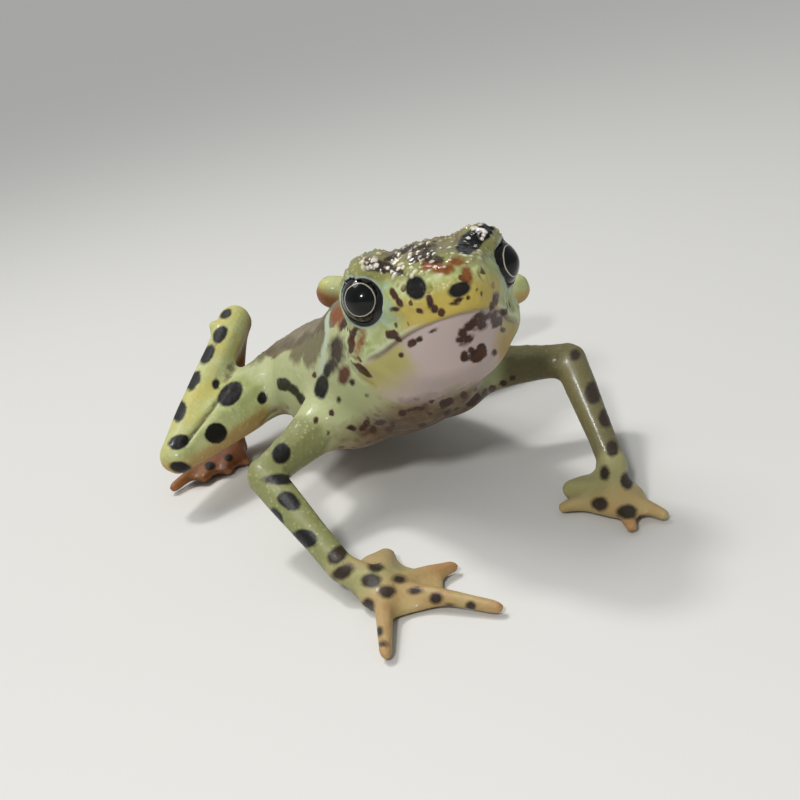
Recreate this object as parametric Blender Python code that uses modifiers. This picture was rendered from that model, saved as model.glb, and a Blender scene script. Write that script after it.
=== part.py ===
"""A rio pescado stubfoot toad, life size, sitting with its front raised on straight arms.

The toad faces -Y with +Z up, so that its own right side is at -X. Sizes are in millimetres
up to the last step, where the finished nodes are set over the origin in metres.
"""

import math

import bmesh
import bpy
from mathutils import Matrix, Vector
from mathutils.bvhtree import BVHTree

MM = 0.001
GAP = 0.3
VOXEL = 0.22
SMOOTH_PASSES = 4
BODY_TRIANGLES = 11200

EYE_MIDDLE = Vector((0.0, 0.0, 15.8))
HEAD_PITCH = math.radians(20.0)
HEAD_YAW = math.radians(9.0)
EYE_SPREAD = 3.95
EYE_RADIUS = 1.5
EYE_AHEAD = -0.6
EYE_RISE = 0.1
EYE_TURN = math.radians(41.0)
ORBIT_RADIUS = 2.3
ORBIT_DEPTH = 0.8
MOUTH_FRONT = -2.4
MOUTH_CORNER = -3.5
MOUTH_STEP = math.radians(11.4)
MOUTH_RADIUS = 0.17
MOUTH_CENTRE = -0.8
MOUTH_BEND = 0.85
NOSTRIL_RADIUS = 0.24
NOSTRIL_FROM = (9.0, 0.4, 4.0)
NOSTRIL_TO = (3.6, -1.0, 0.7)
OUTSIDE = 12.0

# The trunk from the nape to the vent: y, height of the middle, half width, half height.
TRUNK = (
    (1.5, 12.6, 4.5, 4.0),
    (4.5, 11.0, 4.8, 5.0),
    (8.0, 9.4, 5.4, 5.2),
    (12.0, 7.5, 6.0, 4.8),
    (16.5, 6.2, 6.2, 4.3),
    (21.0, 5.3, 5.4, 3.9),
    (25.0, 4.6, 4.2, 3.1),
    (28.0, 4.4, 3.0, 2.1),
    (29.6, 4.4, 1.5, 1.1),
)
TRUNK_LEAN = math.radians(18.0)
RUMP = ((0.0, 25.2, 5.5), (3.2, 3.4, 2.0))
BREAST = ((3.3, 9.6, 6.3), (3.5, 3.6, 2.7))

# The head in its own frame: forward of the eyes, height of the middle, half width, half height.
HEAD = (
    (-6.0, -3.0, 4.4, 3.4),
    (-3.8, -2.5, 5.0, 4.1),
    (-1.8, -2.1, 5.15, 4.3),
    (0.4, -1.6, 4.3, 4.0),
    (2.4, -1.2, 3.3, 3.0),
    (4.0, -1.1, 2.4, 2.1),
    (5.0, -1.1, 1.6, 1.4),
    (5.45, -1.1, 0.8, 0.8),
)

# Rounded forms on the head: forward of the eyes, above them, out to each side, half sizes.
HEAD_FORMS = {
    "snout": (3.9, -0.75, 0.0, (1.9, 1.8, 0.95)),
    "lip": (1.3, -2.0, 0.0, (3.4, 3.7, 0.75)),
    "crown": (-1.0, 1.5, 0.0, (3.1, 3.6, 0.95)),
    "throat": (-2.0, -4.2, 0.0, (4.0, 3.8, 1.9)),
    "brow": (-0.75, 1.5, 3.2, (1.7, 2.3, 1.15)),
    "cheek": (-2.6, -2.6, 4.1, (1.5, 2.3, 1.9)),
}

# Bony ridges from the brow to the snout and from the brow back: their two ends in that frame.
RIDGES = {
    "canthus": ((1.9, 0.75, 2.4), (4.3, 0.1, 1.5)),
    "temple": ((-1.7, 0.75, 2.95), (-4.6, 0.1, 3.6)),
}
RIDGE_RADII = (0.5, 0.45, 0.35)

# Joints of the limbs, worked out for each side from where they show in the picture.
JOINTS = {
    "right": {
        "shoulder": (-4.6, 9.6, 6.3),
        "elbow": (-11.1, 6.2, 5.1),
        "wrist": (-10.1, -2.7, 1.8),
        "palm": (-8.6, -5.0, 1.0),
        "fingers": ((-6.9, -1.4, 0.7), (-4.2, -5.0, 0.5), (-4.4, -11.0, 0.5), (-11.2, -11.1, 0.5)),
        "finger_web": (0.95, 0.85, 0.55, 0.4),
        "hip": (-2.8, 23.6, 5.55),
        "knee": (-14.05, 17.2, 4.05),
        "heel": (-5.15, 28.2, 8.85),
        "sole": (-8.4, 24.4, 1.5),
        "toes": (
            (-8.6, 21.1, 0.5),
            (-10.2, 20.5, 0.5),
            (-12.0, 20.6, 0.5),
            (-14.25, 20.8, 0.5),
            (-12.4, 26.4, 0.5),
        ),
    },
    "left": {
        "shoulder": (4.6, 9.6, 6.3),
        "elbow": (11.6, 6.9, 5.6),
        "wrist": (8.5, -2.6, 1.8),
        "palm": (7.2, -4.8, 1.0),
        "fingers": ((5.9, -1.6, 0.7), (4.4, -3.0, 0.5), (6.0, -8.2, 0.5), (8.2, -8.3, 0.5)),
        "finger_web": (0.75, 0.8, 0.65, 0.6),
        "hip": (2.8, 23.8, 5.5),
        "knee": (16.3, 23.2, 6.2),
        "heel": (3.5, 29.6, 8.5),
        "sole": (8.2, 26.6, 1.5),
        "toes": (
            (9.0, 22.7, 0.5),
            (11.1, 22.1, 0.5),
            (13.3, 22.6, 0.5),
            (15.6, 24.4, 0.5),
            (14.0, 28.0, 0.5),
        ),
    },
}
UPPER_ARM_RADII = (2.3, 1.85, 1.45, 1.25, 1.2)
FOREARM_RADII = (1.2, 1.16, 1.05, 0.96, 0.96)
THIGH_RADII = (2.3, 2.35, 2.1, 1.75, 1.3)
SHANK_RADII = (1.3, 1.42, 1.38, 1.3, 1.36)
TARSUS_RADII = (1.15, 1.0, 0.9, 0.95, 1.0)
PALM_RADII = (0.9, 0.95, 0.95)
FINGER_RADII = (0.7, 0.6, 0.5, 0.45)
THUMB_RADII = (0.8, 0.8, 0.75, 0.7)
TOE_RADII = (0.62, 0.55, 0.5, 0.45)
TOE_WEB = 0.66

# The ball of the thumb: its share of the way from wrist to tip, its level and its radii.
THUMB_BASE_ALONG = 0.68
THUMB_BASE_LEVEL = 0.75
THUMB_BASE_RADII = (1.05, 0.9, 0.72)

# The bump behind each heel: its place along the shank, its offset outwards, back and up, its size.
HEEL_BUMP = (0.9, (1.0, 0.15, 0.95), 0.5)

MATERIALS = {
    "skin": ((0.31, 0.33, 0.11, 1.0), 0.45),
    "eye": ((0.01, 0.01, 0.01, 1.0), 0.08),
}

# How far the cuts reach across a limb, wide enough to part it and no wider.
NECK_CUT = 18.0
SHOULDER_CUT = 6.2
ELBOW_CUT = 4.6
WRIST_CUT = 3.6
HIP_CUT = 6.4
KNEE_CUT = (5.0, 13.4, 2.2)
HEEL_CUT = (3.2, 7.8, 2.3)
INSTEP_CUT = 3.2
GROUND_CUT = (90.0, 10.0)


def clear_scene():
    for old in list(bpy.data.objects):
        bpy.data.objects.remove(old, do_unlink=True)


def make_material(name):
    colour, roughness = MATERIALS[name]
    material = bpy.data.materials.new(name)
    material.use_nodes = True
    shader = material.node_tree.nodes["Principled BSDF"]
    shader.inputs["Base Color"].default_value = colour
    shader.inputs["Roughness"].default_value = roughness
    shader.inputs["Metallic"].default_value = 0.0
    return material


def add_object(name, mesh, collection):
    made = bpy.data.objects.new(name, mesh)
    collection.objects.link(made)
    return made


def mesh_from(shape, name):
    mesh = bpy.data.meshes.new(name)
    shape.to_mesh(mesh)
    shape.free()
    return mesh


def head_turn():
    """The head looks up and a little to the toad's right."""
    return Matrix.Rotation(-HEAD_YAW, 3, "Z") @ Matrix.Rotation(-HEAD_PITCH, 3, "X")


def head_point(forward, up, side=0.0):
    """A point of the head's own frame, in the toad's."""
    return EYE_MIDDLE + head_turn() @ Vector((side, -forward, up))


def eye_centre(side):
    return head_point(EYE_AHEAD, EYE_RISE, side * EYE_SPREAD)


def gaze(side):
    """The way an eye looks: outwards and ahead."""
    return head_turn() @ Vector((side * math.sin(EYE_TURN), -math.cos(EYE_TURN), 0.1)).normalized()


def ball(name, centre, radii, collection, turn=None, rows=14):
    """An ellipsoid of three half sizes."""
    shape = bmesh.new()
    bmesh.ops.create_uvsphere(shape, u_segments=2 * rows, v_segments=rows, radius=1.0)
    size = Matrix.Diagonal((*radii, 1.0))
    turned = turn.to_4x4() if turn else Matrix.Identity(4)
    bmesh.ops.transform(shape, matrix=Matrix.Translation(centre) @ turned @ size, verts=shape.verts)
    return add_object(name, mesh_from(shape, name), collection)


def tube(name, points, radii, collection):
    """A round rod through the points, with its own radius at each and a ball on each end."""
    curve = bpy.data.curves.new(name, "CURVE")
    curve.dimensions = "3D"
    curve.bevel_depth = 1.0
    curve.bevel_resolution = 2
    curve.resolution_u = 4
    curve.use_fill_caps = True
    spline = curve.splines.new("BEZIER")
    spline.bezier_points.add(len(points) - 1)
    for knot, point, radius in zip(spline.bezier_points, points, radii):
        knot.co = point
        knot.radius = radius
        knot.handle_left_type = "AUTO"
        knot.handle_right_type = "AUTO"
    drawn = add_object(name + "_line", curve, collection)
    bpy.context.view_layer.update()
    graph = bpy.context.evaluated_depsgraph_get()
    mesh = bpy.data.meshes.new_from_object(drawn.evaluated_get(graph))
    bpy.data.objects.remove(drawn, do_unlink=True)
    shape = bmesh.new()
    shape.from_mesh(mesh)
    bmesh.ops.remove_doubles(shape, verts=shape.verts, dist=0.0001)
    bmesh.ops.recalc_face_normals(shape, faces=shape.faces)
    shape.to_mesh(mesh)
    shape.free()
    made = add_object(name, mesh, collection)
    for end, (point, radius) in enumerate(((points[0], radii[0]), (points[-1], radii[-1]))):
        ball(f"{name}_end{end}", point, (radius,) * 3, collection, rows=10)
    return made


def limb(name, start, end, radii, collection, bow=(0.0, 0.0, 0.0)):
    """A tube from one joint to the next, its middle moved by the bow."""
    start, end, bow = Vector(start), Vector(end), Vector(bow)
    steps = len(radii) - 1
    places = [step / steps for step in range(steps + 1)]
    points = [start.lerp(end, place) + bow * 4.0 * place * (1.0 - place) for place in places]
    return tube(name, points, radii, collection)


def loft(name, rings, collection, sides=32):
    """A skin through closed rings of equal count, fanned shut at both ends."""
    shape = bmesh.new()
    rows = [[shape.verts.new(point) for point in ring] for ring in rings]
    for row, after in zip(rows, rows[1:]):
        for side in range(sides):
            ahead = (side + 1) % sides
            shape.faces.new((row[side], row[ahead], after[ahead], after[side]))
    for row in (rows[0], rows[-1]):
        middle = sum((corner.co for corner in row), Vector()) / sides
        tip = shape.verts.new(middle)
        for side in range(sides):
            shape.faces.new((row[side], row[(side + 1) % sides], tip))
    bmesh.ops.recalc_face_normals(shape, faces=shape.faces)
    return add_object(name, mesh_from(shape, name), collection)


def ring(centre, across, above, half_width, half_height, sides=32, squareness=0.9):
    """An oval section, a little squarer than an ellipse."""
    points = []
    for side in range(sides):
        angle = 2.0 * math.pi * side / sides
        wide, high = math.cos(angle), math.sin(angle)
        wide = math.copysign(abs(wide) ** squareness, wide)
        high = math.copysign(abs(high) ** squareness, high)
        points.append(centre + across * (half_width * wide) + above * (half_height * high))
    return points


def web(name, start, root, tips, reaches, collection, thickness=0.5):
    """A thin plate from the joint to the digits, out to a share of the length of each."""
    shape = bmesh.new()
    outline = [Vector(start)]
    for tip, reach in zip(tips, reaches):
        outline.append(Vector(root).lerp(Vector(tip), reach))
    for level in outline:
        level.z = 0.1
    face = shape.faces.new([shape.verts.new(point) for point in outline])
    raised = bmesh.ops.extrude_face_region(shape, geom=[face])
    for corner in raised["geom"]:
        if isinstance(corner, bmesh.types.BMVert):
            corner.co.z += thickness
    bmesh.ops.recalc_face_normals(shape, faces=shape.faces)
    return add_object(name, mesh_from(shape, name), collection)


def make_trunk(collection):
    above = Vector((0.0, math.sin(TRUNK_LEAN), math.cos(TRUNK_LEAN)))
    across = Vector((1.0, 0.0, 0.0))
    rings = [
        ring(Vector((0.0, y, z)), across, above, wide, high)
        for y, z, wide, high in TRUNK
    ]
    loft("trunk", rings, collection)
    # A low rise over the hips, where the back of a stubfoot toad is flat and bony.
    ball("rump", Vector(RUMP[0]), RUMP[1], collection)
    for side in (-1.0, 1.0):
        (out, back, rise), radii = BREAST
        ball("breast", Vector((side * out, back, rise)), radii, collection)


def make_head(collection):
    turn = head_turn()
    across, above = turn @ Vector((1.0, 0.0, 0.0)), turn @ Vector((0.0, 0.0, 1.0))
    rings = [
        ring(head_point(forward, up), across, above, wide, high)
        for forward, up, wide, high in HEAD
    ]
    loft("skull", rings, collection)
    for name, (forward, up, out, radii) in HEAD_FORMS.items():
        for side in (-1.0, 1.0) if out else (0.0,):
            ball(name, head_point(forward, up, side * out), radii, collection, turn)
    for side in (-1.0, 1.0):
        orbit = eye_centre(side) - gaze(side) * ORBIT_DEPTH
        ball("orbit", orbit, (ORBIT_RADIUS,) * 3, collection)
        for name, ends in RIDGES.items():
            start, end = (head_point(ahead, up, side * out) for ahead, up, out in ends)
            limb(name, start, end, RIDGE_RADII, collection)


def make_hand(joints, collection):
    wrist, palm = Vector(joints["wrist"]), Vector(joints["palm"])
    limb("palm_root", wrist, palm, PALM_RADII, collection)
    ball("palm", palm + Vector((0.0, -0.2, -0.25)), (1.7, 1.7, 0.9), collection)
    web("palm_web", wrist, palm, joints["fingers"], joints["finger_web"], collection)
    base = wrist.lerp(Vector(joints["fingers"][0]), THUMB_BASE_ALONG)
    base.z = THUMB_BASE_LEVEL
    ball("thumb_base", base, THUMB_BASE_RADII, collection)
    for number, tip in enumerate(joints["fingers"]):
        tip = Vector(tip)
        root = palm.lerp(tip, 0.12)
        root.z = 0.75
        radii = FINGER_RADII if number else THUMB_RADII
        limb(f"finger{number}", root, tip, radii, collection, bow=(0.0, 0.0, 0.12))


def make_foot(joints, collection):
    heel, sole = Vector(joints["heel"]), Vector(joints["sole"])
    limb("tarsus", heel, sole, TARSUS_RADII, collection)
    tips = [Vector(tip) for tip in joints["toes"]]
    middle = sum(tips, Vector()) / len(tips)
    ball("instep", sole.lerp(middle, 0.22) - Vector((0.0, 0.0, 0.5)), (1.6, 1.6, 0.95), collection)
    web("sole_web", sole, sole, tips, (TOE_WEB,) * len(tips), collection)
    for number, tip in enumerate(tips):
        root = sole.lerp(tip, 0.1)
        root.z = 0.9
        limb(f"toe{number}", root, tip, TOE_RADII, collection, bow=(0.0, 0.0, 0.1))


def make_limbs(collection):
    for joints in JOINTS.values():
        limb("upper_arm", joints["shoulder"], joints["elbow"], UPPER_ARM_RADII, collection)
        limb("forearm", joints["elbow"], joints["wrist"], FOREARM_RADII, collection)
        make_hand(joints, collection)
        limb("thigh", joints["hip"], joints["knee"], THIGH_RADII, collection)
        limb("shank", joints["knee"], joints["heel"], SHANK_RADII, collection)
        knee, heel = Vector(joints["knee"]), Vector(joints["heel"])
        share, (out, back, rise), radius = HEEL_BUMP
        bump = knee.lerp(heel, share) + Vector((math.copysign(out, knee.x), back, rise))
        ball("heel_bump", bump, (radius,) * 3, collection)
        make_foot(joints, collection)


def apply_modifiers(made):
    bpy.context.view_layer.update()
    graph = bpy.context.evaluated_depsgraph_get()
    mesh = bpy.data.meshes.new_from_object(made.evaluated_get(graph))
    made.modifiers.clear()
    made.data = mesh


def fuse(collection, name):
    """All the forms of one collection as one smooth closed skin."""
    shape = bmesh.new()
    for piece in list(collection.objects):
        shape.from_mesh(piece.data)
        bpy.data.objects.remove(piece, do_unlink=True)
    body = add_object(name, mesh_from(shape, name), collection)
    remesh = body.modifiers.new("one skin", "REMESH")
    remesh.mode = "VOXEL"
    remesh.voxel_size = VOXEL
    smooth = body.modifiers.new("soft joins", "SMOOTH")
    smooth.factor = 0.5
    smooth.iterations = SMOOTH_PASSES
    apply_modifiers(body)
    triangles = sum(len(face.vertices) - 2 for face in body.data.polygons)
    fewer = body.modifiers.new("fewer faces", "DECIMATE")
    fewer.ratio = min(1.0, BODY_TRIANGLES / triangles)
    fewer.use_collapse_triangulate = True
    apply_modifiers(body)
    return body


def cut(body, cutter):
    """Takes the cutter out of the body, and the cutter out of the scene."""
    boolean = body.modifiers.new("cut", "BOOLEAN")
    boolean.operation = "DIFFERENCE"
    boolean.solver = "EXACT"
    boolean.object = cutter
    apply_modifiers(body)
    bpy.data.objects.remove(cutter, do_unlink=True)


def slab(name, centre, normal, collection, across, length=None, along=None, thick=GAP):
    """A plate square to the normal, as thick as the gap between two nodes."""
    normal = Vector(normal).normalized()
    aside = Vector(along) if along else normal.orthogonal()
    aside = (aside - normal * aside.dot(normal)).normalized()
    shape = bmesh.new()
    bmesh.ops.create_cube(shape, size=1.0)
    axes = Matrix((aside, normal.cross(aside), normal)).transposed().to_4x4()
    size = Matrix.Diagonal((length or across, across, thick, 1.0))
    bmesh.ops.transform(shape, matrix=Matrix.Translation(centre) @ axes @ size, verts=shape.verts)
    bmesh.ops.recalc_face_normals(shape, faces=shape.faces)
    return add_object(name, mesh_from(shape, name), collection)


def surface_of(body):
    return BVHTree.FromPolygons(
        [corner.co for corner in body.data.vertices],
        [tuple(face.vertices) for face in body.data.polygons],
    )


def carve_face(body, collection):
    """The line of the mouth, the nostrils and the sockets of the eyes."""
    surface = surface_of(body)
    line = []
    for step in range(-9, 10):
        angle = MOUTH_STEP * step
        drop = 1.0 - math.cos(MOUTH_BEND * angle)
        lift = MOUTH_FRONT + (MOUTH_CORNER - MOUTH_FRONT) * drop
        target = head_point(MOUTH_CENTRE, lift)
        start = head_point(OUTSIDE * math.cos(angle), lift, OUTSIDE * math.sin(angle))
        hit = surface.ray_cast(start, target - start)[0]
        line.append(hit)
    groove = tube("mouth_cut", line, (MOUTH_RADIUS,) * len(line), collection)
    for end in [piece for piece in collection.objects if piece.name.startswith("mouth_cut_end")]:
        bpy.data.objects.remove(end, do_unlink=True)
    cut(body, groove)
    for side in (-1.0, 1.0):
        start, target = (
            head_point(ahead, up, side * out) for ahead, up, out in (NOSTRIL_FROM, NOSTRIL_TO)
        )
        hit = surface.ray_cast(start, target - start)[0]
        cut(body, ball("nostril_cut", hit, (NOSTRIL_RADIUS,) * 3, collection, rows=8))
        socket = ball("socket_cut", eye_centre(side), (EYE_RADIUS + GAP,) * 3, collection, rows=11)
        cut(body, socket)


def bisector(corner, one, other):
    """The square to the plane halfway between two limbs that meet at a corner."""
    towards_one = (Vector(one) - Vector(corner)).normalized()
    towards_other = (Vector(other) - Vector(corner)).normalized()
    return towards_one - towards_other, towards_one + towards_other


def part_body(body, collection):
    """Thin cuts through the neck and at every joint of the limbs."""
    nape = head_turn() @ Vector((0.0, -1.0, 0.25))
    cut(body, slab("neck", head_point(-4.6, -2.2), nape, collection, NECK_CUT))
    for joints in JOINTS.values():
        shoulder, elbow, wrist = (Vector(joints[name]) for name in ("shoulder", "elbow", "wrist"))
        hip, knee = Vector(joints["hip"]), Vector(joints["knee"])
        heel, sole = Vector(joints["heel"]), Vector(joints["sole"])
        upper = shoulder.lerp(elbow, 0.36)
        cut(body, slab("shoulder", upper, elbow - shoulder, collection, SHOULDER_CUT))
        normal, _ = bisector(elbow, shoulder, wrist)
        cut(body, slab("elbow", elbow, normal, collection, ELBOW_CUT))
        cut(body, slab("wrist", elbow.lerp(wrist, 0.95), wrist - elbow, collection, WRIST_CUT))
        outward = (knee - hip).normalized() + Vector((math.copysign(1.0, knee.x), 0.0, 0.0))
        cut(body, slab("hip", hip.lerp(knee, 0.38), outward, collection, HIP_CUT))
        cut_fold(body, "knee", (knee, hip, heel), KNEE_CUT, collection)
        cut_fold(body, "heel", (heel, knee, sole), HEEL_CUT, collection)
        cut(body, slab("instep", heel.lerp(sole, 0.86), sole - heel, collection, INSTEP_CUT))


def cut_fold(body, name, joint, sizes, collection):
    """Parts two limbs that lie folded on each other, from the joint to where they open."""
    normal, middle = bisector(*joint)
    across, reach, before = sizes
    centre = joint[0] + middle.normalized() * (reach / 2.0 - before)
    cut(body, slab(name, centre, normal, collection, across, reach, middle))


def node_anchors():
    """A point on or in each node, by which the cut pieces are named."""
    anchors = {
        "torso": Vector((0.0, 14.0, 12.2)),
        "head": head_point(0.0, 2.0),
    }
    for side, joints in JOINTS.items():
        bends = ("shoulder", "elbow", "wrist", "palm", "hip", "knee", "heel", "sole")
        spots = {name: Vector(joints[name]) for name in bends}
        anchors["upper_arm_" + side] = spots["shoulder"].lerp(spots["elbow"], 0.7)
        anchors["forearm_" + side] = spots["elbow"].lerp(spots["wrist"], 0.5)
        anchors["hand_" + side] = spots["palm"]
        anchors["thigh_" + side] = spots["hip"].lerp(spots["knee"], 0.6)
        anchors["shank_" + side] = spots["knee"].lerp(spots["heel"], 0.55)
        anchors["tarsus_" + side] = spots["heel"].lerp(spots["sole"], 0.5)
        anchors["foot_" + side] = Vector(joints["toes"][2])
    return anchors


def loose_parts(body):
    """The body's separate closed surfaces, largest first, as lists of faces."""
    shape = bmesh.new()
    shape.from_mesh(body.data)
    shape.faces.ensure_lookup_table()
    seen = set()
    parts = []
    for face in shape.faces:
        if face.index in seen:
            continue
        group, todo = [], [face]
        seen.add(face.index)
        while todo:
            current = todo.pop()
            group.append(current.index)
            for edge in current.edges:
                for near in edge.link_faces:
                    if near.index not in seen:
                        seen.add(near.index)
                        todo.append(near)
        parts.append(group)
    shape.free()
    return sorted(parts, key=len, reverse=True)


def take_nodes(body, collection):
    """Gives every node the piece of the cut body that lies nearest to its anchor."""
    corners = [corner.co.copy() for corner in body.data.vertices]
    faces = [tuple(face.vertices) for face in body.data.polygons]
    anchors = node_anchors()
    pieces = loose_parts(body)[: len(anchors)]
    trees = [BVHTree.FromPolygons(corners, [faces[index] for index in piece]) for piece in pieces]
    nodes = []
    for name, anchor in anchors.items():
        distances = [tree.find_nearest(anchor)[3] for tree in trees]
        piece = pieces[distances.index(min(distances))]
        used = sorted({corner for index in piece for corner in faces[index]})
        order = {corner: place for place, corner in enumerate(used)}
        mesh = bpy.data.meshes.new(name)
        mesh.from_pydata(
            [corners[corner] for corner in used],
            [],
            [[order[corner] for corner in faces[index]] for index in piece],
        )
        nodes.append(add_object(name, mesh, collection))
    bpy.data.objects.remove(body, do_unlink=True)
    return nodes


def make_eyes(collection):
    eyes = []
    for name, side in (("eye_right", -1.0), ("eye_left", 1.0)):
        eyes.append(ball(name, eye_centre(side), (EYE_RADIUS,) * 3, collection, rows=11))
    return eyes


def middle_of(nodes):
    """The middle of the box round all the nodes, as seen from above."""
    corners = [corner.co for node in nodes for corner in node.data.vertices]
    low = [min(corner[axis] for corner in corners) for axis in (0, 1)]
    high = [max(corner[axis] for corner in corners) for axis in (0, 1)]
    return Vector(((low[0] + high[0]) / 2.0, (low[1] + high[1]) / 2.0, 0.0))


def finish(nodes, middle, material):
    """Sets the nodes over the origin, in metres, with smooth faces and their material."""
    for node in nodes:
        node.data.transform(Matrix.Scale(MM, 4) @ Matrix.Translation(-middle))
        node.data.materials.clear()
        node.data.materials.append(material)
        for face in node.data.polygons:
            face.use_smooth = True
        node.data.update()


def main():
    clear_scene()
    toad, forms, cutters = (
        bpy.data.collections.new(name) for name in ("stubfoot toad", "forms", "cutters")
    )
    for collection in (toad, forms, cutters):
        bpy.context.scene.collection.children.link(collection)
    make_trunk(forms)
    make_head(forms)
    make_limbs(forms)
    body = fuse(forms, "body")
    across, depth = GROUND_CUT
    below = Vector((0.0, 10.0, -depth / 2.0))
    cut(body, slab("ground", below, (0.0, 0.0, 1.0), cutters, across, thick=depth))
    carve_face(body, cutters)
    part_body(body, cutters)
    flesh = take_nodes(body, toad)
    middle = middle_of(flesh)
    finish(flesh, middle, make_material("skin"))
    finish(make_eyes(toad), middle, make_material("eye"))


main()
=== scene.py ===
import math
import random

import bmesh
import bpy
import numpy as np
from mathutils import Matrix, Vector
from mathutils.bvhtree import BVHTree
from mathutils.kdtree import KDTree


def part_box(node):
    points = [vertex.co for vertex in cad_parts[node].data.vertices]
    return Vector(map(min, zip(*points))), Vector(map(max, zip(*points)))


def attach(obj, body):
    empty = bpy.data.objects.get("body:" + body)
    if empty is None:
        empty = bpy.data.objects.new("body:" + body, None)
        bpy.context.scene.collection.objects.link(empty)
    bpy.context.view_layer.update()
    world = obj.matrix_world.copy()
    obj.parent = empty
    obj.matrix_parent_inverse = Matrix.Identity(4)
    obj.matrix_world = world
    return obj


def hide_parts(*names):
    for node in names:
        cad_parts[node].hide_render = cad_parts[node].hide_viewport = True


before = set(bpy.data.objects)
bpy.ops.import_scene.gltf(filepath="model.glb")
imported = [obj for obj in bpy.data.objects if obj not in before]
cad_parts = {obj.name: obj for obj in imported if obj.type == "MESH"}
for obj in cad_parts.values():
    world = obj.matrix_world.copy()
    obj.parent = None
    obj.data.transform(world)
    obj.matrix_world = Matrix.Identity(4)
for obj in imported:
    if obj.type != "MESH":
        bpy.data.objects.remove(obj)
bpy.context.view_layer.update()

# Rio pescado stubfoot toad, life size. It faces -Y and its own right side is at -X.
# Lengths in the dictionaries are millimetres, pixels are those of the 800 x 800 photograph.
mm = 0.001
fleshNodes = sorted(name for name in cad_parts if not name.startswith("eye"))
ramp, maths, mix = "ShaderNodeMapRange", "ShaderNodeMath", "ShaderNodeMix"
noise, cells, named = "ShaderNodeTexNoise", "ShaderNodeTexVoronoi", "ShaderNodeAttribute"
multiply, multiplyAdd = {"operation": "MULTIPLY"}, {"operation": "MULTIPLY_ADD"}


def fromHex(code):   # sRGB to linear
    parts = [int(code[i:i + 2], 16) / 255 for i in (1, 3, 5)]
    return tuple(p / 12.92 if p <= 0.04045 else ((p + 0.055) / 1.055) ** 2.4 for p in parts) + (1.0,)


def addNode(material, kind, settings=None, links=None):
    node = material.node_tree.nodes.new(kind)
    for key, value in (settings or {}).items():
        if isinstance(key, int) or key in node.inputs:
            node.inputs[key].default_value = value
        else:
            setattr(node, key, value)
    for socket, source in (links or {}).items():
        material.node_tree.links.new(source, node.inputs[socket])
    return node


def newMaterial(name, sockets):
    material = bpy.data.materials.new(name)
    material.use_nodes = True
    shader = material.node_tree.nodes["Principled BSDF"]
    for socket, value in sockets.items():
        shader.inputs[socket].default_value = value
    return material, shader


def applyModifier(obj, kind, settings):
    bpy.ops.object.select_all(action="DESELECT")
    obj.select_set(True)
    bpy.context.view_layer.objects.active = obj
    modifier = obj.modifiers.new(kind.lower(), kind)
    for key, value in settings.items():
        setattr(modifier, key, value)
    bpy.ops.object.modifier_apply(modifier=modifier.name)


def vectorsOf(obj, kind):
    flat = np.empty(len(obj.data.vertices) * 3)
    obj.data.vertices.foreach_get(kind, flat)
    return flat.reshape(-1, 3)


def setPoints(obj, points):
    obj.data.vertices.foreach_set("co", points.reshape(-1))
    obj.data.update()


def addField(obj, name, values):
    layer = obj.data.attributes.new(name, "FLOAT", "POINT")
    layer.data.foreach_set("value", values.astype(np.float32))


def ease(nothing, full, value):   # 0 to 1 between two values, the second of which may be the lower
    t = np.clip((value - nothing) / (full - nothing), 0.0, 1.0)
    return t * t * (3.0 - 2.0 * t)


def bell(value, middle, width):
    return np.exp(-((value - middle) / width) ** 2)


def treeOf(corners):
    tree = KDTree(len(corners))
    for index, corner in enumerate(corners):
        tree.insert(corner, index)
    tree.balance()
    return tree


def surfaceOf(points):
    return BVHTree.FromPolygons([Vector(p) for p in points], [tuple(f.vertices) for f in skin.data.polygons])


# Head axes, taken from the eyes
head = {"pitch": 20.0, "yaw": 9.0, "eyesBehind": 0.6, "eyesAbove": 0.1}
headYaw, headPitch = -math.radians(head["yaw"]), -math.radians(head["pitch"])
headTurn = Matrix.Rotation(headYaw, 3, "Z") @ Matrix.Rotation(headPitch, 3, "X")
eyeCentres = {side: sum(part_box("eye_" + side), Vector()) / 2 for side in ("right", "left")}
eyesMiddle = (eyeCentres["right"] + eyeCentres["left"]) / 2
headOrigin = eyesMiddle - headTurn @ Vector((0.0, head["eyesBehind"], head["eyesAbove"])) * mm


def headPoint(forward, up, side):
    return headOrigin + headTurn @ Vector((side, -forward, up)) * mm


def headCoordinates(points):
    local = (points - np.array(headOrigin)) @ np.array(headTurn) / mm
    return -local[:, 1], local[:, 2], local[:, 0]   # forward, up, side


# Camera, where the photograph was taken from
camera = {
    "fromEyes": (-30.19, -73.19, 22.21),
    "azimuth": -20.1,
    "pitch": 20.2,
    "roll": 11.5,
    "lens": 62.7,
    "sensor": 36.0,
    "frame": 800,
    "clip": (0.002, 5.0),   # metres
}


def addCamera():
    azimuth, pitch, roll = (math.radians(camera[key]) for key in ("azimuth", "pitch", "roll"))
    level = Vector((-math.sin(azimuth), math.cos(azimuth), 0.0))
    right = Vector((math.cos(azimuth), math.sin(azimuth), 0.0))
    ahead = level * math.cos(pitch) - Vector((0, 0, math.sin(pitch)))
    up = level * math.sin(pitch) + Vector((0, 0, math.cos(pitch)))
    across = right * math.cos(roll) - up * math.sin(roll)
    over = up * math.cos(roll) + right * math.sin(roll)
    turn = Matrix((across, over, -ahead)).transposed().to_4x4()
    bpy.ops.object.camera_add()
    made = bpy.context.object
    made.name = "photoCamera"
    place = eyesMiddle + Vector(camera["fromEyes"]) * mm
    made.matrix_world = Matrix.Translation(place) @ turn
    made.data.lens = camera["lens"]
    made.data.sensor_width = camera["sensor"]
    made.data.clip_start, made.data.clip_end = camera["clip"]
    bpy.context.scene.camera = made
    axes = {"eye": place, "across": across, "over": over, "ahead": ahead}
    return {name: np.array(axis) for name, axis in axes.items()}


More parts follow.
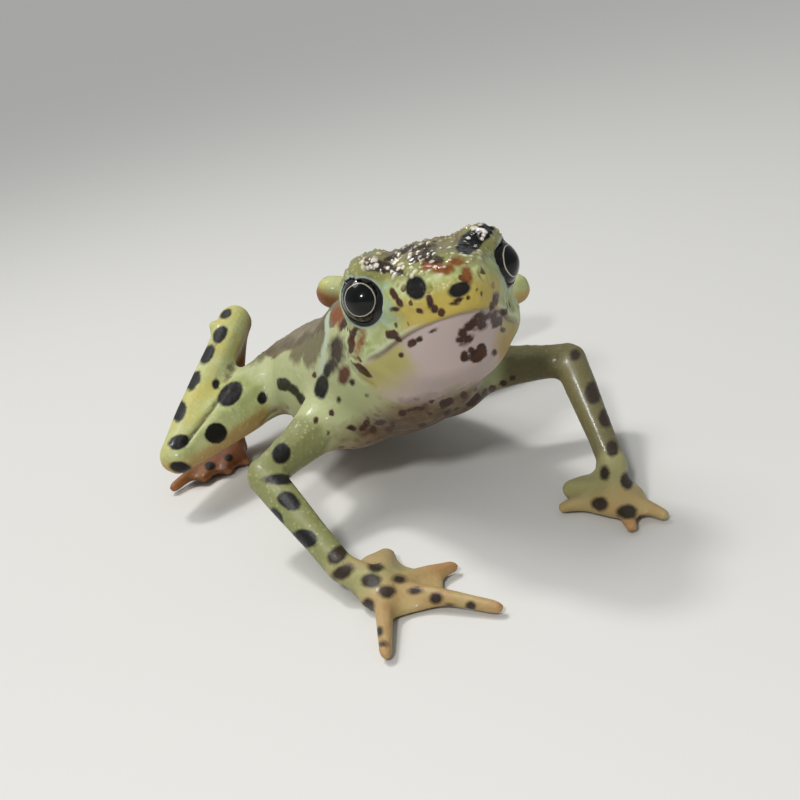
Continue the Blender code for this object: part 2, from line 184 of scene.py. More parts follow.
seen = addCamera()
focal = camera["lens"] / camera["sensor"] * camera["frame"]
half = camera["frame"] / 2


def toPixels(points):
    ray = points - seen["eye"]
    depth = ray @ seen["ahead"]
    return half + focal * (ray @ seen["across"]) / depth, half - focal * (ray @ seen["over"]) / depth


def rayThrough(px, py):
    return Vector(seen["ahead"] + seen["across"] * (px - half) / focal - seen["over"] * (py - half) / focal)


def facingOf(points, normals):   # 1 where the skin faces the camera, below 0 where it turns away
    ray = seen["eye"] - points
    return (normals * ray).sum(1) / np.linalg.norm(ray, axis=1)


# Skin over all the flesh nodes at once, so that no cut between them shows
skinForm = {
    "weld": 0.002,
    "firstVoxel": 0.13,
    "voxel": 0.225,
    "closing": 0.32,            # wide enough to bridge the cuts between the nodes
    "smoothing": (6, 3),        # rounds before and after the skin is drawn in again
    "fineCentre": (-0.6, -1.6, 0.0),
    "fineReach": 8.6,           # the head gets a finer mesh inside this radius
    "fineFrom": (-4.2, -4.6),   # and only forward of and above these
}


def refineHead(made):
    centre = headPoint(*skinForm["fineCentre"])
    behind, below = skinForm["fineFrom"]
    for corner in made.data.vertices:
        local = headTurn.transposed() @ (corner.co - headOrigin) / mm
        near = (corner.co - centre).length < skinForm["fineReach"] * mm
        corner.select = near and -local.y > behind and local.z > below
    bpy.ops.object.mode_set(mode="EDIT")
    bpy.ops.mesh.select_mode(type="VERT")
    bpy.ops.mesh.subdivide(number_cuts=1)
    bpy.ops.mesh.vertices_smooth(factor=0.5, repeat=2)
    bpy.ops.object.mode_set(mode="OBJECT")


def addSkin():
    shape = bmesh.new()
    for name in fleshNodes:
        shape.from_mesh(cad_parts[name].data)
    bmesh.ops.remove_doubles(shape, verts=shape.verts, dist=skinForm["weld"] * mm)
    mesh = bpy.data.meshes.new("toadSkin")
    shape.to_mesh(mesh)
    shape.free()
    made = bpy.data.objects.new("toadSkin", mesh)
    bpy.context.scene.collection.objects.link(made)
    closing = skinForm["closing"] * mm
    before, after = skinForm["smoothing"]
    steps = (   # the skin swells until the cuts close, and is drawn in again
        ("REMESH", {"mode": "VOXEL", "voxel_size": skinForm["firstVoxel"] * mm}),
        ("DISPLACE", {"strength": closing, "mid_level": 0.0}),
        ("REMESH", {"mode": "VOXEL", "voxel_size": skinForm["voxel"] * mm}),
        ("SMOOTH", {"factor": 0.5, "iterations": before}),
        ("DISPLACE", {"strength": -closing, "mid_level": 0.0}),
        ("SMOOTH", {"factor": 0.5, "iterations": after}),
    )
    for kind, settings in steps:
        applyModifier(made, kind, settings)
    refineHead(made)
    return made


skin = addSkin()
skinTriangles = sum(len(f.vertices) - 2 for f in skin.data.polygons)
print("skin", len(skin.data.vertices), "points", skinTriangles, "triangles")


def neighbourMean(values, rounds):
    count = np.bincount(edges.reshape(-1), minlength=len(values))
    for _ in range(rounds):
        total = np.bincount(edges[:, 0], values[edges[:, 1]], len(values))
        total += np.bincount(edges[:, 1], values[edges[:, 0]], len(values))
        values = 0.5 * values + 0.5 * total / np.maximum(count, 1)
    return values


def edgesOf(obj):
    flat = np.empty(len(obj.data.edges) * 2, dtype=np.int32)
    obj.data.edges.foreach_get("vertices", flat)
    return flat.reshape(-1, 2)


def cornersOf(names):
    return [corner.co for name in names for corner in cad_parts[name].data.vertices]


def nodeLabels(points):   # for each point, the flesh node that lies nearest
    owners = [index for index, name in enumerate(fleshNodes) for _ in cornersOf([name])]
    tree = treeOf(cornersOf(fleshNodes))
    return np.array([owners[tree.find(point)[1]] for point in points])


edges = edgesOf(skin)
labels = nodeLabels(vectorsOf(skin, "co"))


def maskOf(words, rounds):   # 1 on the nodes whose names start with the words, blurred at their edges
    chosen = [index for index, name in enumerate(fleshNodes) if name.startswith(words)]
    return neighbourMean(np.isin(labels, chosen).astype(float), rounds)


# Face: mouth, lips, cheeks, nostrils, lids. A pair of numbers is a ramp, from nothing to full.
face = {
    "mouth": {"front": -2.4, "corner": -3.5, "arcBehind": 0.8, "arcShare": 0.85},
    "mouthEnds": (94.0, 104.0),   # degrees round the snout
    "groove": {"depth": 0.1, "level": -0.06, "width": 0.1},
    "upperLip": {"height": 0.08, "level": 0.3, "width": 0.26},
    "jaw": {"setback": 0.18, "top": (0.0, -0.12), "foot": (-2.4, -0.4)},   # it closes inside the upper lip
    "cheek": {"share": 0.1, "below": (-0.9, -2.0), "ahead": (-3.6, -1.4)},   # the cheeks narrow to the lips
    "nostril": {"place": (3.6, -1.0, 0.7), "seekFrom": (9.0, 0.4, 4.0), "radius": 0.2, "depth": 0.3},
    "nostrilRim": {"height": 0.08, "radius": 0.38, "width": 0.16},
    "lidInner": 1.8,     # where the socket wall of the solids lies
    "lidFit": 1.535,     # where it comes to lie, close on the eyeball
    "lidReach": 2.5,
    "lidWide": 0.9,      # the black rim, partly painted shade of the socket, reaches no further from the eyeball than this
    "lidLeast": 0.07,
}


def mouthFields(points):   # height above the line of the mouth, share of the face, degrees round the snout
    forward, up, side = headCoordinates(points)
    mouth = face["mouth"]
    angle = np.degrees(np.arctan2(side, forward + mouth["arcBehind"]))
    drop = 1.0 - np.cos(np.radians(mouth["arcShare"] * angle))
    line = mouth["front"] + (mouth["corner"] - mouth["front"]) * drop
    inFace = maskOf("head", 2) * (1.0 - ease(*face["mouthEnds"], np.abs(angle)))
    return up - line, inFace, angle


def shapeMouth(points, normals):
    above, inFace, _ = mouthFields(points)
    groove, lip, jaw, cheek = (face[key] for key in ("groove", "upperLip", "jaw", "cheek"))
    lift = lip["height"] * bell(above, lip["level"], lip["width"])
    lift -= jaw["setback"] * ease(*jaw["top"], above) * ease(*jaw["foot"], above)
    lift -= groove["depth"] * bell(above, groove["level"], groove["width"])
    points = points + normals * (lift * inFace * mm)[:, None]
    forward, up, side = headCoordinates(points)
    narrow = cheek["share"] * maskOf("head", 6) * ease(*cheek["below"], up) * ease(*cheek["ahead"], forward)
    return points - np.array(headTurn @ Vector((1, 0, 0))) * (narrow * side * mm)[:, None]


def pressNostrils(points, normals):
    nostril, rim = face["nostril"], face["nostrilRim"]
    for sign in (-1.0, 1.0):
        start, aim = (headPoint(x, y, sign * z) for x, y, z in (nostril["seekFrom"], nostril["place"]))
        hit = surfaceOf(points).ray_cast(start, aim - start)[0]
        away = np.linalg.norm(points - np.array(hit), axis=1) / mm
        lift = rim["height"] * bell(away, rim["radius"], rim["width"])
        lift -= nostril["depth"] * bell(away, 0.0, nostril["radius"])
        points = points + normals * (lift * mm)[:, None]
    return points


def fitLids(points):
    for centre in eyeCentres.values():
        ray = points - np.array(centre)
        far = np.linalg.norm(ray, axis=1) / mm
        pull = (face["lidInner"] - face["lidFit"]) * (1.0 - ease(face["lidInner"], face["lidReach"], far))
        moved = np.maximum(far - pull, face["lidFit"] * (far < face["lidReach"]))
        points = np.array(centre) + ray * (moved / far)[:, None]
    return points


# Folds of the skin, each a line through named pixels
folds = {
    "thighOnShank": {
        "line": ((240, 366), (229, 384), (216, 402), (205, 417), (194, 431), (186, 443)),
        "depth": 0.3,
        "width": 0.16,
    },
    "groin": {"line": ((262, 424), (276, 412), (288, 408)), "depth": 0.14, "width": 0.2},
    "wristA": {"line": ((325, 577), (336, 566), (352, 562)), "depth": 0.05, "width": 0.12},
    "wristB": {"line": ((333, 585), (347, 575), (362, 570)), "depth": 0.05, "width": 0.12},
    "jawCorner": {"line": ((360, 362), (352, 358), (346, 350)), "depth": 0.12, "width": 0.14},
    "neckSide": {"line": ((372, 385), (360, 378), (350, 366)), "depth": 0.1, "width": 0.22},
}
longestStep = 4.0   # a step of a line longer than this would jump between limbs
farAway = 9.0       # distance written where nothing is near


def lineDistance(points, line):
    surface = surfaceOf(points)
    hits = [surface.ray_cast(Vector(seen["eye"]), rayThrough(*pixel))[0] for pixel in line]
    hits = [np.array(hit) for hit in hits if hit is not None]
    away = np.full(len(points), farAway)
    for start, end in zip(hits, hits[1:]):
        if np.linalg.norm(end - start) > longestStep * mm:
            continue
        along = np.clip((points - start) @ (end - start) / ((end - start) @ (end - start)), 0.0, 1.0)
        away = np.minimum(away, np.linalg.norm(points - start - along[:, None] * (end - start), axis=1) / mm)
    return away


def foldLift(points):
    lift = np.zeros(len(points))
    for fold in folds.values():
        lift -= fold["depth"] * bell(lineDistance(points, fold["line"]), 0.0, fold["width"])
    return lift


# Wet beads on the crown and low glands over the rest
relief = {
    "beads": {"count": 430, "radius": (0.13, 0.29), "height": (0.09, 0.19), "share": 0.5, "seed": 11},
    "glands": {"count": 1500, "radius": (0.2, 0.36), "height": (0.03, 0.07), "share": 0.4, "seed": 12},
    "roundness": 1.6,
    "crownSlope": 0.16,        # the crown starts lower towards the snout
    "crownFrom": (0.5, 1.3),
    "glandsUpward": (-0.2, 0.3),
    "trunkCalm": 16,           # rounds of smoothing, because the trunk is calmer than the limbs
}


def raiseBumps(points, normals, mask, bumps):   # where the mask is above the share
    source = random.Random(bumps["seed"])
    chosen = np.flatnonzero(mask > bumps["share"])
    tree = treeOf(points)
    lift = np.zeros(len(points))
    for _ in range(bumps["count"]):
        centre = points[chosen[source.randrange(len(chosen))]]
        radius, height = source.uniform(*bumps["radius"]), source.uniform(*bumps["height"])
        for _, index, away in tree.find_range(centre, radius * mm * relief["roundness"]):
            bump = height * math.exp(-(away / mm / radius) ** 2 * relief["roundness"])
            lift[index] = max(lift[index], bump)
    return points + normals * (lift * mm)[:, None], lift


points, normals = vectorsOf(skin, "co"), vectorsOf(skin, "normal")
forward, up, side = headCoordinates(points)
onCrown = maskOf("head", 4) * ease(*relief["crownFrom"], up + relief["crownSlope"] * forward)
points = fitLids(pressNostrils(shapeMouth(points, normals), normals))
trunk = maskOf("torso", 6)
for axis in range(3):
    points[:, axis] += trunk * (neighbourMean(points[:, axis], relief["trunkCalm"]) - points[:, axis])
creases = foldLift(points)
points = points + normals * (creases * mm)[:, None]
points, beads = raiseBumps(points, normals, onCrown, relief["beads"])
rough = maskOf(("torso", "head", "thigh", "upper"), 4) * ease(*relief["glandsUpward"], normals[:, 2])
points, _ = raiseBumps(points, normals, rough, relief["glands"])
points[:, 2] = np.maximum(points[:, 2], 0.0)   # nothing sinks into the floor
setPoints(skin, points)
print("face and relief shaped")


# Markings, with some painted highlights and painted shade among them, as ovals by their place in the
# photograph: x, y, half width, half height, tilt
darkSpots = {
    "snout": ((415.7, 288, 9.6, 11.2, 0), (459.3, 289.5, 10.6, 7.2, 20)),
    "leftBrow": ((471, 242, 15, 9.5, 42), (483, 231.5, 11, 8.5, 35), (463.5, 247.5, 7, 5.5, 20)),
    "backLong": ((283.5, 384.4, 8, 6.2, -20), (293.5, 389.5, 6, 4, -45), (301.5, 399, 8.5, 3.4, -56)),
    "backRound": ((321.7, 387, 6.4, 11.6, -10), (327, 371, 3.4, 8, -14)),
    "flank": ((262.3, 398, 4.8, 6, -12),),
    "thigh": ((230.4, 394, 14, 9.2, 47), (216, 433.3, 11, 9.8, 25)),
    "knee": ((178.7, 442, 10.4, 6.8, 22), (180.4, 467.3, 10.5, 5.2, -12)),
    "shank": (
        (220, 334.4, 5.8, 9.2, -32), (226, 314, 6, 4, 40), (207.5, 354.4, 5, 10, -30),
        (193.5, 380.7, 5.5, 10, -30), (179.5, 411.3, 6, 10.5, -18), (216, 384, 3.2, 5, -10),
    ),
    "sole": ((210, 466, 5, 4, 0), (229, 458, 4, 3.4, 0)),
    "upperArm": ((281.5, 453.5, 8.8, 10, -20), (279.2, 479.3, 15, 5, -2)),
    "forearm": ((288.8, 500.8, 12, 7.8, -28), (276.5, 517, 5, 8.5, 32), (304.7, 538.5, 13.2, 8.6, -10)),
    "neckFlecks": (
        (352.2, 382.2, 2.6, 2.8, 0), (339, 399.5, 1.8, 2.6, 0), (367, 395.5, 1.7, 1.7, 0),
        (327.8, 433, 1.5, 1.6, 0),
    ),
}
rustSpots = {
    "chin": (
        (413, 342.5, 4.4, 3, 30), (419, 339.5, 4, 2.6, 30), (432, 331, 2.4, 1.2, 20), (401, 355, 2.2, 2, 0),
        (476, 356, 5.6, 6.6, 0), (481.5, 348, 4.6, 4.4, 30), (484, 353, 2.4, 3, 0), (471.5, 350.5, 2.6, 3, 0),
        (464.5, 357, 3.8, 5, 0), (495, 352, 2, 2.6, 0),
    ),
    "jawSide": ((497, 324, 4, 2.6, 30), (504, 312, 3, 2.6, 30), (503, 330, 2, 2, 0)),
    "cheek": (
        (346, 321, 2.6, 9, -32), (353, 335, 2.4, 8.5, -28), (351, 348, 2.2, 7, -14),
        (362.5, 370, 7.8, 2.8, -37), (392.5, 334.5, 4.5, 4, 0), (398, 339, 2.6, 1.8, -30),
    ),
    "lip": (
        (394, 294, 2.4, 5, 30), (399, 302, 2.4, 4, 30), (395, 309, 4, 1.8, 0), (419, 311, 2.4, 2, 0),
        (430, 302, 2.6, 5.6, 10), (434.5, 309, 3, 3.4, 0), (441, 312.5, 2, 2.6, 0), (459, 300, 4.6, 1.8, 15),
        (467.5, 298, 1.8, 2, 0), (455, 303.5, 3, 1.2, 0), (496, 299.5, 2.2, 5, 0), (492, 306, 1.8, 3, 0),
    ),
    "chest": (
        (350.8, 428, 4, 2.3, -10), (366.7, 423, 2.6, 4, -20), (362.5, 429, 2, 1.8, 0),
        (373.3, 429, 2.6, 3.4, 0), (380, 422.5, 4.4, 2.2, 8), (393, 425, 1.8, 2.2, 0),
        (388.7, 429, 2.4, 1.5, 0), (402.5, 413.3, 3.6, 2.8, 0), (410, 410, 2.2, 1, 20),
        (415.5, 408.4, 2, 0.9, 20), (421.2, 408.3, 1.8, 1.3, 0), (429.5, 413.7, 2.4, 1.8, 0),
        (422.5, 425.5, 3.4, 3, 0), (431.7, 401.7, 2, 1.6, 0), (444, 404, 4.4, 4.2, 0),
        (450, 401.5, 3, 3.6, 0), (447.5, 413.3, 3, 1.8, 30), (464, 395, 2.8, 3.6, 20),
        (471, 401.5, 6, 4.4, 20), (478, 397.5, 4, 3, 0), (484.5, 394, 2.6, 5, -20),
        (475.8, 389.7, 1.8, 1.6, 0), (491.7, 388.3, 3.4, 2.8, 0), (503.3, 383.3, 3, 2.6, 0),
        (512.5, 378, 2, 1.6, 0), (457, 409, 2, 1.6, 0), (331.3, 413.3, 2.4, 2.6, 0),
        (315.5, 420.5, 2.2, 3, 0), (314.4, 375.4, 1.8, 2, 0),
    ),
}
duskyPatches = {
    "back": (
        (311, 352, 8, 14, -12), (296.5, 353, 6, 11, -5), (305, 342, 15, 10, -10), (319, 340, 6, 20, -14),
        (288, 343, 12, 6, -10), (262, 355, 12, 4, 34),
    ),
    "shank": ((230, 368, 5, 4, 30), (227, 377, 3, 5, -30)),
}
tintedPatches = {
    "crownDark": {
        "rightBrow": ((374, 265.5, 9, 5.2, -14), (388, 268.5, 9, 4.8, -18), (398, 272.5, 6, 3, -14)),
        "middle": (
            (414, 258.5, 8, 4.4, 12), (428, 255.5, 9, 4.8, 8), (437, 259, 5, 3.6, 0),
            (393, 256.5, 6, 2.4, 25),
        ),
        "rear": ((409, 249.5, 9, 2.8, 22), (424, 246, 8, 2.6, 8)),
    },
    "crownGrey": {"rear": ((428, 249, 34, 6, 12), (372, 258, 14, 4, -10))},
    "russet": {
        "crown": (
            (434, 266, 12, 6, -16), (447, 270, 6, 4.4, 0), (466, 275, 5, 8, 12), (459.5, 261, 6.5, 4, 0),
        ),
    },
    # the underside of the chest, laid dark brown: partly its own brown, partly painted shade
    "breast": {"under": ((430, 421, 52, 19, 8), (466, 402, 34, 9, 16), (385, 432, 36, 12, 4))},
    "orange": {"flank": ((337, 315, 5, 8, -20), (340, 325, 3, 4, 0))},
    "brownDark": {
        "wrist": ((338.3, 554.5, 11, 7.2, 38), (343, 572.5, 10.8, 6.2, 30)),
        "hand": (
            (371.3, 580.8, 9.6, 6.8, 0), (375.6, 567.4, 7, 4.6, 0), (386.9, 591.5, 8.4, 5.8, 6),
            (399.6, 579.2, 6.6, 3.8, 0), (368, 605.7, 6, 6.8, 0), (415.5, 590.4, 6, 3.2, 0),
            (436.3, 598.2, 6.2, 5.2, 0), (470.9, 605.7, 4, 3.4, 0), (450, 605.5, 4, 2, 0),
            (379.4, 631.5, 3.2, 4, 0), (383, 644.2, 4, 2, 0),
        ),
        "leftArm": ((575, 355, 5, 5, 0), (593, 393, 8, 11, 0), (606, 418, 7, 9.5, 0), (612, 448, 5.5, 8, 0)),
        "leftHand": (
            (605, 473, 4.5, 6.5, 0), (627, 481, 6, 8, 0), (600, 504, 8.5, 6.5, 0), (627, 512, 10, 6.5, 0),
        ),
    },
    "thumb": {"right": ((379, 556, 26, 11, 8),)},
    "jawOrange": {"left": ((506, 346, 9, 18, 10),)},
    "smear": {
        "chin": (
            (460, 341, 3, 3.6, 0), (463.5, 334, 4, 4.4, 40), (472.5, 324.5, 9, 4.6, 42),
            (486, 317.5, 10, 3.8, 12), (497, 321, 5, 4, 20), (478, 316, 3, 2, 20), (468, 338, 5, 3, 60),
            (482, 325, 5, 3, 30),
        ),
    },
    # painted highlights: white glints on the wet beads of the crown
    "glint": {
        "crown": (
            (455, 268, 24, 14, 0), (386, 267, 24, 6, -14), (478, 236, 16, 9, 40), (425, 250, 26, 5, 10),
        ),
    },
    "tan": {"flank": ((359, 343, 4.5, 12, -14),)},
    "ruddy": {"neck": ((344, 375.5, 5.5, 9, -14),)},
    "umber": {"neck": ((337, 350, 7, 13, 4), (333, 364, 5, 9, -14))},
}
# black rims on the lids round the eyes, partly painted shade of the sockets
lidRims = {"right": ((363.3, 302.5, 20.5, 24.6, 10),), "left": ((509, 260.5, 11, 24.5, 6),)}
paleStripe = {"line": ((328, 315), (327, 332), (325, 345), (323, 360), (320, 374)), "width": (0.42, 0.26)}
ovalRule = {
    "reach": 2.6, "margin": 0.6,       # points further than this from an oval are left out
    "turnedAway": 0.15, "fade": 3.0,   # and those on the far side of a limb lose it
    "clear": 3.0,                      # distance written where there is no oval
}


def spotDistance(points, normals, spots, base):
    surface = surfaceOf(points)
    px, py = toPixels(points)
    facing = facingOf(points, normals)
    nearest = base.copy()
    ovals = [(name, *oval) for name, group in spots.items() for oval in group]
    for name, x, y, halfWide, halfHigh, tilt in ovals:
        hit = surface.ray_cast(Vector(seen["eye"]), rayThrough(x, y))[0]
        if hit is None:
            print("spot off the toad:", name, x, y)
            continue
        scale = float((np.array(hit) - seen["eye"]) @ seen["ahead"]) / focal / mm   # mm for each pixel
        away = np.linalg.norm(points - np.array(hit), axis=1) / mm
        close = away < ovalRule["reach"] * max(halfWide, halfHigh) * scale + ovalRule["margin"]
        turn = math.radians(tilt)
        dx, dy = px[close] - x, -(py[close] - y)
        along = (dx * math.cos(turn) + dy * math.sin(turn)) / halfWide
        over = (-dx * math.sin(turn) + dy * math.cos(turn)) / halfHigh
        away = (np.hypot(along, over) - 1.0) * min(halfWide, halfHigh) * scale
        away += np.maximum(0.0, -ovalRule["turnedAway"] - facing[close]) * ovalRule["fade"]
        nearest[close] = np.minimum(nearest[close], away)
    return nearest


# Unseen sides get spots of the same size and spacing
hiddenSpots = {
    "count": 75,
    "radius": (0.42, 0.75),
    "spacing": 2.3,
    "lowest": 2.2,      # height above the floor
    "upward": -0.25,    # no spot on skin that leans further down than this
    "seen": 0.05,
    "onPalms": 0.5,
    "seed": 5,
}
sight = {"offSkin": 0.15, "turnedAway": 0.05, "blur": 14}   # a ray to the camera starts a little off the skin


def addHiddenSpots(points, base, allowed):
    source = random.Random(hiddenSpots["seed"])
    chosen = list(np.flatnonzero(allowed))
    source.shuffle(chosen)
    centres = []
    for index in chosen:
        centre = points[index]
        if all(np.linalg.norm(centre - other) > hiddenSpots["spacing"] * mm for other in centres):
            centres.append(centre)
        if len(centres) == hiddenSpots["count"]:
            break
    for centre in centres:
        radius = source.uniform(*hiddenSpots["radius"])
        base = np.minimum(base, np.linalg.norm(points - centre, axis=1) / mm - radius)
    return base


def seenFrom(points, normals):   # 1 where the camera sees the skin
    surface = surfaceOf(points)
    eye = Vector(seen["eye"])
    clear = np.zeros(len(points))
    for index in np.flatnonzero(facingOf(points, normals) > -sight["turnedAway"]):
        start = Vector(points[index] + normals[index] * sight["offSkin"] * mm)
        if surface.ray_cast(start, eye - start)[0] is None:
            clear[index] = 1.0
    return neighbourMean(clear, sight["blur"])


def awayFrom(words):
    tree = treeOf(cornersOf([name for name in fleshNodes if name.startswith(words)]))
    return np.array([tree.find(point)[2] for point in points]) / mm


# Regions of one tint: nodes and rounds of blur, or a base with ramps that limit it, from nothing to full
nodeRegions = {
    # the hind feet, laid dark red-brown: partly their own colour, partly painted shade under the thighs
    "foot": (("foot", "tarsus"), 8),
    "hand": ("hand", 8),
    # the left arm, laid a darker olive-brown as painted shade
    "leftArm": (("forearm_left", "upper_arm_left", "hand_left"), 12),
    "shank": ("shank", 8),
    # both arms, laid a darker olive: partly their own colour, partly painted shade
    "forearm": (("forearm", "upper_arm", "hand"), 10),
}
limitedRegions = {
    # the downward-facing trunk, laid browner: partly its own colour, partly painted shade
    "belly": ("trunk", ("upward", -0.3, -0.85)),
    "back": ("trunk", ("upward", 0.2, 0.75), ("fromSpine", 5.6, 4.2)),
    "digits": ("palms", ("fromWrist", 2.4, 5.6)),
    "underLimb": ("hindLimbs", ("upward", 0.4, -0.5)),
    "throat": ("head", ("above", 0.06, -0.06), ("forward", -5.0, -3.0)),
    "crown": ("head", ("crest", 0.5, 1.2)),
    "crownMiddle": (
        "head", ("crest", 0.5, 1.2), ("out", 3.0, 1.9), ("forward", -3.0, -1.2), ("forward", 2.0, 1.0),
    ),
    "crownBack": ("head", ("crest", 0.5, 1.2), ("out", 3.2, 2.2), ("forward", -2.0, -3.0)),
    "jaw": ("head", ("above", 0.0, -0.2), ("round", 46.0, 70.0), ("above", -2.6, -0.9)),
    "face": ("head", ("above", -0.05, 0.2), ("up", 0.6, -0.4)),
    "loreal": (
        "head", ("out", 2.0, 2.8), ("forward", 0.2, 1.0), ("forward", 3.0, 1.6),
        ("up", 0.8, 0.0), ("up", -2.2, -1.0),
    ),
    "cheek": ("head", ("above", -0.3, 0.1), ("up", 0.6, -0.4), ("forward", 2.4, 0.6), ("out", 2.0, 3.0)),
    "lips": ("face", ("above", 2.4, 0.9), ("above", -0.1, 0.05), ("forward", 1.5, 3.2)),
    "lipEdge": ("lipEdge", ("round", 20.0, 34.0)),
}
tintRamps = {
    "nape": (-2.2, -4.6),              # the back of the head takes the tint of the trunk
    # painted shade in the folds: how deep a fold must be before it darkens, and where it is darkest
    "creaseShade": (0.04, 0.2),
    "mouth": (-0.06, 0.09),            # level and width of the painted shade in the groove of the mouth
    "lipEdge": (0.16, 0.09),
    "corner": (0.3, (25.0, 60.0)),     # the painted shade along the mouth is darkest at its corners
    "stripeAway": 0.1,
}

points, normals = vectorsOf(skin, "co"), vectorsOf(skin, "normal")
forward, up, side = headCoordinates(points)
above, inFace, mouthAngle = mouthFields(points)
visible = seenFrom(points, normals)
limbs = maskOf(("thigh", "shank", "tarsus", "upper", "forearm"), 6)
palms = maskOf(("hand", "foot"), 10)
inHead = maskOf("head", 6)
inTorso = 1.0 - np.clip(limbs + palms + inHead, 0.0, 1.0)
trunk = np.clip(inTorso + inHead * ease(*tintRamps["nape"], forward), 0.0, 1.0)
measures = {
    "forward": forward,
    "up": up,
    "out": np.abs(side),
    "above": above,
    "round": np.abs(mouthAngle),
    "crest": up + relief["crownSlope"] * forward,
    "upward": normals[:, 2],
    "fromSpine": np.abs(points[:, 0] - headOrigin.x) / mm,
    "fromWrist": awayFrom(("forearm", "tarsus")),
}
bases = {
    "trunk": trunk,
    "palms": palms,
    "hindLimbs": maskOf(("thigh", "shank"), 8),
    "head": inHead,
    "face": inFace,
    "lipEdge": inFace * bell(above, *tintRamps["lipEdge"]),
}
noSpot = np.full(len(points), ovalRule["clear"])
unseen = (visible < hiddenSpots["seen"]) & (normals[:, 2] > hiddenSpots["upward"])
unseen &= (palms < hiddenSpots["onPalms"]) & (points[:, 2] > hiddenSpots["lowest"] * mm)
least, towardsCorner = tintRamps["corner"]
fields = {
    "dark": spotDistance(points, normals, darkSpots, addHiddenSpots(points, noSpot, unseen)),
    "rust": spotDistance(points, normals, rustSpots, noSpot),
    "dusky": spotDistance(points, normals, duskyPatches, noSpot),
    "paleStripe": ease(*paleStripe["width"], lineDistance(points, paleStripe["line"])),
    # painted shade in the folds of the skin, darker where a fold lies deeper
    "creaseShade": ease(*tintRamps["creaseShade"], -creases),
    "torso": trunk,
    # painted shade along the groove of the mouth, under the upper lip
    "mouth": inFace * bell(above, *tintRamps["mouth"]),
    "corner": least + (1.0 - least) * ease(*towardsCorner, measures["round"]),
    "beads": beads / relief["beads"]["height"][1],
}
fields["paleStripe"] *= facingOf(points, normals) > -tintRamps["stripeAway"]
for name, patches in tintedPatches.items():
    fields[name] = spotDistance(points, normals, patches, noSpot)
for name, (words, rounds) in nodeRegions.items():
    fields[name] = maskOf(words, rounds)
for name, (base, *limits) in limitedRegions.items():
    fields[name] = bases[base].copy()
    for measure, nothing, full in limits:
        fields[name] *= ease(nothing, full, measures[measure])
rimAway = np.full(len(points), farAway)
for centre in eyeCentres.values():
    rimAway = np.minimum(rimAway, np.linalg.norm(points - np.array(centre), axis=1) / mm - face["lidFit"])
around = spotDistance(points, normals, lidRims, noSpot)
fields["lid"] = np.minimum(np.maximum(around, rimAway - face["lidWide"]), rimAway - face["lidLeast"])
for name, values in fields.items():
    addField(skin, name, values)
for polygon in skin.data.polygons:
    polygon.use_smooth = True
print("markings placed")


# Moist amphibian skin: thin and finely granular, under a wet film that gives it a soft gloss
skinFinish = {
    "colours": {
        "limb": "#b5b984", "limbDeep": "#98a063", "limbPale": "#cdd0a6", "shank": "#bfb566",
        "underLimb": "#b0884a", "forearm": "#77784a", "leftArm": "#5d5236", "hand": "#9c9766",
        "digits": "#a57d50", "digitsPale": "#ab9a68", "foot": "#7c4a2c", "footPale": "#96693c",
        "torso": "#a8ac7e", "belly": "#a08d6c", "bellyBrownAndShade": "#664832", "back": "#786c4e",
        "backDark": "#5c4f37", "dusky": "#54472f", "paleStripe": "#aab59c", "creaseShade": "#453a20",
        "breast": "#57432c", "breastPale": "#80694c", "crown": "#878650", "crownMiddle": "#6a5a3c",
        "crownRust": "#5c3a1e", "crownBack": "#7d7068", "crownGrey": "#746658", "crownDark": "#33261d",
        "russet": "#784016", "beadHighlight": "#dcd6c2", "glint": "#efe6da", "cheek": "#b3bf90", "lips": "#b59d42",
        "loreal": "#7fa8a6", "throat": "#b5a4a0", "jaw": "#a8a162", "lipEdge": "#d2d3c4",
        "mouth": "#6b5648", "speck": "#4a2614", "dark": "#0b0805", "brownDark": "#30251a", "rust": "#42200e",
        "rustDeep": "#1c0c06", "orange": "#7c4014", "tan": "#80572c", "ruddy": "#552a1a", "umber": "#35281b",
        "thumb": "#a48b62", "jawOrange": "#b08a4c", "smear": "#3a1b0e", "lid": "#100f0c",
        "lidEdge": "#9aa798",
    },
    "mottling": {"broad": (3.0, 3.0), "middle": (0.8, 4.0), "fine": (0.22, 3.0)},   # size and detail
    "roughness": (0.55, 0.17),   # over the body, and on the wet crown
    "specks": 0.8,               # spacing
    "granules": 0.3,
    "bump": 0.025,
    "throatCalm": 0.8,
    "wander": (0.4, -0.24, 0.06),   # an edge moves by the middle mottling, a shift and the fine mottling
    "edgeShift": 0.06,
    "backRagged": 1.6,
    "speckRagged": 0.22,
    "sockets": {
        "Coat Weight": 0.14,
        "Coat Roughness": 0.15,
        "IOR": 1.4,
        "Specular IOR Level": 0.38,
        "Subsurface Weight": 0.2,
        "Subsurface Scale": 0.5 * mm,
        "Subsurface Radius": (1.0, 0.6, 0.35),
    },
}
edgeKinds = {   # half width of the soft edge, and how far the mottling moves it
    "dark": (0.1, 0.6), "rust": (0.08, 1.0), "dusky": (0.16, 1.8), "crownDark": (0.1, 1.6),
    "crownGrey": (0.3, 2.0), "russet": (0.12, 1.6), "breast": (0.6, 3.0), "orange": (0.14, 1.4),
    "tan": (0.2, 1.4), "ruddy": (0.14, 1.0), "umber": (0.2, 1.6), "brownDark": (0.13, 0.7),
    "thumb": (0.3, 1.0), "jawOrange": (0.4, 2.0), "smear": (0.12, 1.7), "glint": (0.3, 2.0),
}
